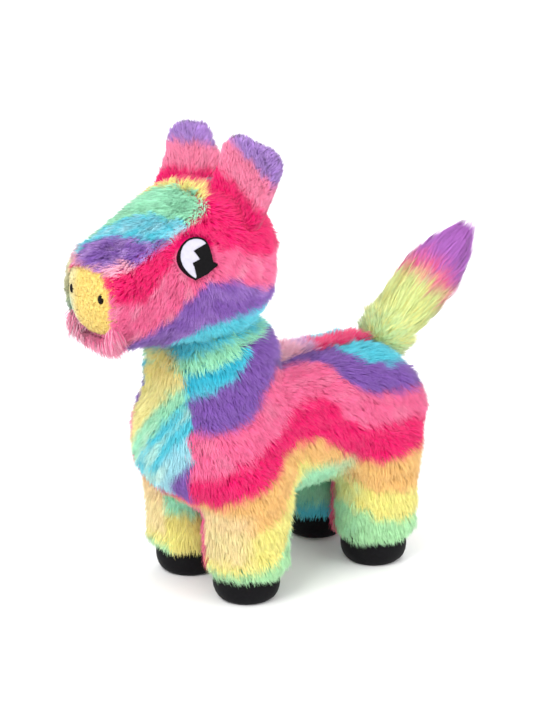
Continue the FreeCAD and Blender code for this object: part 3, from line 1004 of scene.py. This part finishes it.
dress("torso", torso_piece, (-60, -105, 55), (60, 108, 142), ride_on("torso"),
      ["torso_side_left", "torso_side_right", "chest_gusset", "belly_gusset", "torso_stuffing"],
      split=split_torso)
for leg, (sx, sy) in LEGS.items():
    def attach(o, leg=leg, sx=sx, sy=sy):
        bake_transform(o)
    cx, cy = sx * 30, sy * 52
    dress("leg_" + leg, lambda p, leg=leg: np.maximum(skin_d(p), leg_zone(p, leg)),
          (cx - 36, cy - 36, 14), (cx + 36, cy + 36, 72), attach,
          ["leg_outer_" + leg, "leg_inner_" + leg, "leg_stuffing_" + leg], tilt=(50, 10))


def attach_low(o):
    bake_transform(o)


def attach_high(o):
    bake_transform(o)


dress("neck", neck_low, (-60, -105, 130), (60, 0, 162), attach_low, ["neck_stuffing"])
dress("nape", neck_high, (-60, -110, 150), (60, 0, 190), attach_high, ["neck_cover"])


def split_head(r):
    x, y = r[:, 0], r[:, 1]
    f = (r[:, 2] > forehead_z(y)) & (y < -58)
    return [("_forehead", f), ("_left", ~f & (x >= 0)), ("_right", ~f & (x < 0))]


dress("head", head_piece, (-50, -156, 150), (50, -20, 268), ride_on("head"),
      ["cheek_panel_left", "cheek_panel_right", "forehead_gusset", "jaw_gusset",
       "head_stuffing", "muzzle_panel"], split=split_head, dens=2.5)

# ---- muzzle: very short, dense, slightly curly pile
mv, mq = surface_net(head_piece, (-50, -156, 150), (50, -120, 268), 3.0)
mr = sample(mv, mq, 5.0, near_skin)
mr = settle(skin_d, mr, 0, 3)
mr = mr[muzzle_in(mr) < 1.12]
for s in (1, -1):
    mr = mr[((mr[:, 0] - s * 14.5) / 1.9) ** 2 + ((mr[:, 2] - 210) / 3.0) ** 2 > 1]
mn = grad(skin_d, mr)
mf = np.stack([noise(mr, 3, 1), noise(mr, 3, 4), noise(mr, 3, 7) - 0.4], -1)
o = fur("muzzle_pile", mr, mn, mf, np.full(len(mr), 2.6), muzzle_colour, M_MUZZLE,
        width=0.42, tilt=(35, 18), curl=60, tuft=0.08, pull=0.5, jitter=0.9, tips=0.1)
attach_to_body(o, "head")

# ---- nostrils
for s, side in ((1, "left"), (-1, "right")):
    th = np.linspace(0, 2 * np.pi, 41)[:-1]
    rows, V = 7, []
    c0 = settle(skin_d, np.array([[s * 14.5, -148.0, 210.0]]), 0)[0]
    nn = grad(skin_d, c0[None])[0]
    a = unit(np.cross([0, 0, 1.0], nn))
    b = np.cross(nn, a)
    for k in range(rows):
        rr = 1 - k / rows
        hgt = 2.3 * math.sqrt(max(0, 1 - rr ** 4)) if k else -1.0
        rr = rr if k else 1.0
        e = 1 + 0.05 * np.sin(th * 22)
        V.append(c0 + nn * hgt + np.outer(np.cos(th) * 1.8 * rr * e, a)
                 + np.outer(np.sin(th) * 3.0 * rr * e, b))
    V = np.concatenate(V + [(c0 + nn * 2.35)[None], (c0 - nn)[None]])
    F = []
    for k in range(rows - 1):
        for i in range(40):
            F.append([k * 40 + i, k * 40 + (i + 1) % 40, (k + 1) * 40 + (i + 1) % 40,
                      (k + 1) * 40 + i])
    T = [[(rows - 1) * 40 + i, (rows - 1) * 40 + (i + 1) % 40, rows * 40] for i in range(40)]
    T += [[(i + 1) % 40, i, rows * 40 + 1] for i in range(40)]
    o = make_object("nostril_thread_" + side, V, [np.array(F), np.array(T)],
                    np.broadcast_to(lin((20, 16, 18)), V.shape), M_BLACK)
    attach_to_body(o, "head")
    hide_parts("nostril_" + side)

eye(1, "left")
eye(-1, "right")

# ---- fringes of longer pile sewn into seams
def fringe(name, root, nrm, flow, L, colour, body, node, **kw):
    args = dict(width=0.5, tilt=(30, 14), curl=35, segs=3, tuft=0.06, pull=0.55, jitter=0.35,
                tips=0.2)
    args.update(kw)
    o = fur(name, root, nrm, flow, L, colour, M_LONG, **args)
    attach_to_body(o, body)
    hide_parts(node)
    return o


n = 3200
r = np.stack([RNG.uniform(-5, 5, n), RNG.uniform(-28, 62, n), np.full(n, 136.0)], -1)
r = settle(skin_d, r, 0, 4)
spine_col = lambda p: bands(p[:, 1] + 3 * noise(p, 8, 2), [12, 24],
                            [LPINK, mix(LPURP[None], LPINK[None], np.array([0.5]))[0], MAG], 3)
fringe("spine_fringe_pile", r, grad(skin_d, r),
       np.stack([0.5 * np.sign(r[:, 0]), 0.8 + 0 * r[:, 0], 0 * r[:, 0]], -1),
       RNG.uniform(11, 15, n) + np.interp(r[:, 1], [-28, -21, -9, 25], [-6, 1, 6, 0]), spine_col, "torso", "spine_fringe", tilt=(24, 12), width=0.42)

n = 3000
ang = RNG.uniform(0.5, 1.95, n)      # from the crown, down the back of the head
r = np.stack([RNG.normal(0, 2.2, n), -70 + 46 * np.sin(ang), 218 + 46 * np.cos(ang)], -1)
r = settle(skin_d, r, 0, 5)


def mane_col(p):
    return bands(p[:, 2] + 2 * noise(p, 8, 2), [190, 203, 226, 238, 250],
                 [LPURP, PINK, MAG, PINK, LIME, YEL], 3)


fringe("mane_pile", r, grad(skin_d, r),
       np.stack([0.25 * np.sign(r[:, 0]), 0.5 + 0 * r[:, 0], -0.8 + 0 * r[:, 0]], -1),
       RNG.uniform(12, 17, n), mane_col, "head", "mane_strip", tilt=(26, 14), width=0.42)

n = 2600
th = RNG.uniform(np.pi * 1.14, np.pi * 1.84, n)
rad = RNG.uniform(1.02, 1.2, n)
r = np.stack([22 * rad * np.cos(th), np.full(n, -146.0), 205.5 + 21 * rad * np.sin(th)], -1)
r = settle(skin_d, r, 0, 5)
fringe("chin_fringe_pile", r, grad(skin_d, r),
       np.stack([0.45 * r[:, 0] / 24, 0.25 + 0 * r[:, 0], -1 + 0 * r[:, 0]], -1),
       RNG.uniform(13, 21, n), lambda p: mix(PINK, LPINK, np.clip(0.3 + noise(p, 5, 1), 0, 1)),
       "head", "chin_fringe", tilt=(60, 12), curl=8, width=0.45, tuft=0.04, pull=0.6,
       big=0.008, bigpull=0.12)

# ---- ears
for s, side in ((1, "left"), (-1, "right")):
    base, L, ax, lat, front = ear_frame(s)
    f = lambda p, s=s: ear_d(p, s)

    def ear_colour(p, s=s):
        u, w, nn, LL = ear_uv(p, s)
        w = w + 1.2 * noise(p, 7, 2) + (0.33 if s > 0 else 0.05) * u
        c = bands(w, [18 if s > 0 else 17, 36.5 if s > 0 else 33],
                  [MAG, mix(PINK[None], LPINK[None], np.array([0.35]))[0],
                   mix(PURP[None], LPURP[None], np.array([0.6]))[0]], 3.4)
        return mix(c, LPURP, np.clip(0.6 * noise(p, 6, 7), 0, 1) * (w > 36))

    def attach(o, side=side, base=base, ax=ax):
        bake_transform(o)
    lo = np.array([min(0, s * 60), -80, 236.0])
    hi = np.array([max(0, s * 60), -20, 300.0])
    o, v, q = net_piece("ear_%s_cloth" % side, f, lo, hi, 2.5, ear_colour, M_BACK)
    box_uv(o)
    attach(o)
    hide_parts("ear_front_" + side, "ear_back_" + side)
    root = sample(v, q, 2.1, lambda p: np.abs(f(p)) < 0.8)
    root = settle(f, root, 0, 3)
    root = root[head_d(root) > -1.5]
    nr = grad(f, root)
    u, w, nn, LL = ear_uv(root, s)
    flow = ax[None] * 1.0 + lat[None] * (u / 26)[:, None]
    hollow = (nr @ front > 0.5)
    Lf = np.where(hollow, 6.0, 6.8)
    Lf = Lf * np.interp(w, [22, 38], [1.0, 1.12])

    # the front of the ear is painted up to 12% darker: painted shade in its cupped hollow
    def ear_colour_painted_shade(p, s=s, f=f):
        c = ear_colour(p)
        g = grad(f, p) @ ear_frame(s)[4]
        return c * (1 - 0.12 * step(0.3, 0.8, g))[:, None]
    fo = fur("ear_%s_pile" % side, root, nr, flow, Lf, ear_colour_painted_shade, M_FUR, tilt=(52, 10), width=0.48)
    attach(fo)

# ---- tail: a silky brush
T_LIME = lin((230, 246, 160))
tf = tail_d
o, v, q = net_piece("tail_cloth", tf, (-16, 68, 122), (16, 136, 186), 2.5,
                    lambda p: np.broadcast_to(T_LIME, p.shape).copy(), M_BACK)
box_uv(o)
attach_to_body(o, "tail")
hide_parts("tail_sleeve", "tail_stuffing", "tail_gather")
T_AX = unit(TAIL1 - TAIL0)


def tail_colour(p):
    s = (p - TAIL0) @ T_AX + 5.0 * noise(p, 5, 3)
    c = bands(s, [8, 42, 56], [lin((214, 244, 172)), T_LIME, PINK, lin((188, 110, 204))], 5)
    return mix(c, YEL, np.clip(noise(p, 6, 6), 0, 1) * step(50, 38, s) * 0.7)


root = sample(v, q, 3.0, lambda p: (p - TAIL0) @ T_AX > -4)
root = settle(tf, root, 0, 3)
s = (root - TAIL0) @ T_AX
side = root - TAIL0 - s[:, None] * T_AX
nr = unit(unit(side) + T_AX * 0.3 * step(30, 50, s)[:, None])
flow = T_AX[None] + 0.12 * np.stack([noise(root, 6, 1), noise(root, 6, 4), noise(root, 6, 7)], -1)
Lt = np.interp(s, [-4, 10, 40, 56], [24, 32, 39, 40.5]) * (1 + 0.10 * np.abs(noise(root, 5, 2)))


def tail_shape(pts):
    """Keeps the brush inside a leaf shape, a little flat from side to side."""
    q = pts - TAIL0
    d = q @ T_AX
    r = q - d[..., None] * T_AX
    m = length(r)
    env = np.interp(d, [-6, 2, 14, 34, 54, 70, 84, 98], [17, 20, 23, 25, 24, 21, 15, 7])
    env = env * (1 + 0.22 * noise(pts[:, 0], 3.5, 8))[:, None]
    r = r / ((1 + (m / env) ** 4) ** 0.25)[..., None]
    r[..., 0] *= 0.88
    lean = 3.6 * np.clip(d / 90, 0, 1.1) ** 2
    return TAIL0 + d[..., None] * T_AX + r + lean[..., None] * np.array([0, 0.77, -0.64])

tip_mix = lambda p, c: tail_colour(p) * 0.97
o = fur("tail_brush", root, nr, flow, Lt, tail_colour, M_LONG, tilt=(66, 8), curl=14, segs=3,
        width=0.5, tuft=0.03, pull=0.55, jitter=0.2, tips=0.08, tip_colour=tip_mix,
        big=0.006, bigpull=0.35, shape=tail_shape, drop=0.9)
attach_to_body(o, "tail")

root = sample(v, q, 3.0, lambda p: ((p - TAIL0) @ T_AX > -9) & ((p - TAIL0) @ T_AX < 6))
root = settle(tf, root, 0, 3)
s = (root - TAIL0) @ T_AX
o = fur("tail_base_pile", root, grad(tf, root), T_AX[None] + 0 * root, np.interp(s, [-9, 6], [9, 15]),
        tail_colour, M_LONG, tilt=(34, 22), width=0.5)
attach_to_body(o, "tail")

# ---- hooves: low velour bowls with a stitched sole
for leg, (sx, sy) in LEGS.items():
    c0 = np.array([sx * 30, sy * 52, 0.0])
    prof = [(0, 0.35), (9, 0.3), (13.4, 0.0), (15.6, 0.0), (16.6, 0.5), (17.3, 1.0), (18.6, 2.2),
            (19.9, 4.2), (20.9, 7), (21.3, 10), (21.2, 13), (20.5, 16), (19.4, 19), (17.6, 21.6),
            (14.5, 23.2), (8, 24.2), (0, 24.5)]
    m = 88
    th = np.linspace(0, 2 * np.pi, m + 1)[:-1]
    rg = np.random.default_rng(900 + (sx > 0) * 2 + (sy > 0))
    ph = rg.uniform(0, 6.28, 3)
    V, col = [c0 + np.array([0, 0, prof[0][1]])], [lin((20, 19, 22))]
    for rr, z in prof[1:-1]:
        w = 1 + 0.010 * np.sin(2 * th + ph[0]) + 0.007 * np.sin(3 * th + ph[1]) \
            + 0.004 * np.sin(7 * th + ph[2])
        w = w if z > 2 else np.ones(m)
        zz = z + (0.25 * np.sin(th * 2 + ph[1]) if z > 4 else 0) + 0 * th
        V += list(np.stack([c0[0] + rr * w * np.cos(th), c0[1] + rr * w * np.sin(th), zz], -1))
        # painted shade: the rings within 6 mm of the floor are painted darker, down to 75%
        shade = 0.75 + 0.25 * min(1, z / 6)
        col += [lin((13, 12, 15)) * shade] * m
    V.append(c0 + np.array([0, 0, prof[-1][1]]))
    col.append(lin((20, 19, 22)))
    V = np.array(V)
    F, T = [], []
    R = len(prof) - 2
    for k in range(R - 1):
        a = 1 + k * m
        for i in range(m):
            F.append([a + i, a + (i + 1) % m, a + m + (i + 1) % m, a + m + i])
    for i in range(m):
        T.append([1 + (i + 1) % m, 1 + i, 0])
        a = 1 + (R - 1) * m
        T.append([a + i, a + (i + 1) % m, len(V) - 1])
    o = make_object("hoof_" + leg, V, [np.array(F), np.array(T)], np.array(col), M_HOOF)
    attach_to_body(o, "leg_" + leg)
    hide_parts("hoof_side_" + leg, "hoof_sole_" + leg)

# ----------------------------------------------------------------------------
# Stage, light and camera
# ----------------------------------------------------------------------------
def plain(name, c, rough=0.9):
    m = bpy.data.materials.new(name)
    m.use_nodes = True
    b = m.node_tree.nodes["Principled BSDF"]
    b.inputs["Base Color"].default_value = (*c, 1)
    b.inputs["Roughness"].default_value = rough
    b.inputs["Specular IOR Level"].default_value = 0.1
    return m


fl = bpy.data.meshes.new("floor")
fl.from_pydata([(-6, -6, 0), (6, -6, 0), (6, 6, 0), (-6, 6, 0)], [], [(0, 1, 2, 3)])
floor = bpy.data.objects.new("floor", fl)
fl.materials.append(plain("floor_white", (0.9, 0.9, 0.9)))
bpy.context.scene.collection.objects.link(floor)

w = bpy.data.worlds.new("studio")
bpy.context.scene.world = w
w.use_nodes = True
bg = w.node_tree.nodes["Background"]
bg.inputs[0].default_value = (1, 1, 1, 1)
bg.inputs[1].default_value = 1.25
bpy.context.scene.view_settings.view_transform = "Standard"


def area(name, loc, target, size, power):
    l = bpy.data.lights.new(name, "AREA")
    l.shape = "DISK"
    l.size = size
    l.energy = power
    o = bpy.data.objects.new(name, l)
    o.location = loc
    o.rotation_euler = (Vector(target) - Vector(loc)).to_track_quat("-Z", "Y").to_euler()
    bpy.context.scene.collection.objects.link(o)


area("key", (0.55, -1.3, 1.5), (0, 0, 0.12), 0.9, 20)
area("fill", (1.6, 0.5, 0.9), (0, 0, 0.12), 1.2, 8)
area("rim", (-1.0, 1.2, 1.3), (0, 0, 0.15), 0.9, 9)

th, el = math.radians(52), math.radians(18.5)
R = np.array([math.cos(th), math.sin(th), 0])
B = np.array([math.sin(th) * math.cos(el), -math.cos(th) * math.cos(el), math.sin(el)])
U = np.cross(B, R)
mm = 0.000633
target = world((0, 0, 140)) - R * (282 - 266.5) * mm + U * (356.3 - 355.5) * mm
cam = bpy.data.cameras.new("camera")
cam.lens = 36 * 1.9 / (711 * mm)
cam.clip_start = 0.05
cam.clip_end = 30
co = bpy.data.objects.new("camera", cam)
co.location = target + B * 1.9
co.rotation_euler = Matrix((R, U, B)).transposed().to_euler()
bpy.context.scene.collection.objects.link(co)
bpy.context.scene.camera = co
